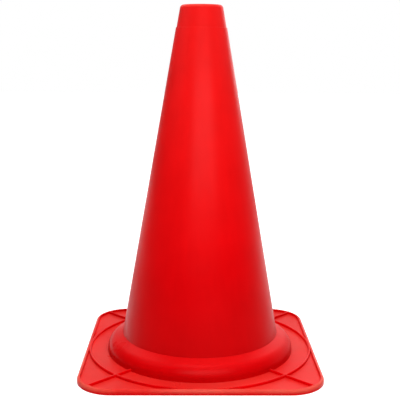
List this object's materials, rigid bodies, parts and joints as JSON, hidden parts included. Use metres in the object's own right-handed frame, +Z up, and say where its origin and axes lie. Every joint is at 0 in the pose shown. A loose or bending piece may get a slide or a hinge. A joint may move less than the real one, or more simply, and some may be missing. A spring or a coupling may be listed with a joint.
{
  "type": "sports marker cone",
  "caption": "Hollow tapered training cone with a stepped neck and an open top, held in a square rimmed base with a rounded collar; stands on flat ground to mark out a course.",
  "frame": {"origin": "centre of the square base, on the floor", "axes": "+Z up along the cone's axis, X and Y along the sides of the base; the picture looks along +Y"},
  "size_m": [0.2, 0.2, 0.3],
  "materials": {
    "moulded_polyethylene": "satin, with a fine mould texture"
  },
  "bodies": {
    "root": {"cone_body": "moulded_polyethylene", "base_plate": "moulded_polyethylene"}
  },
  "joints": []
}
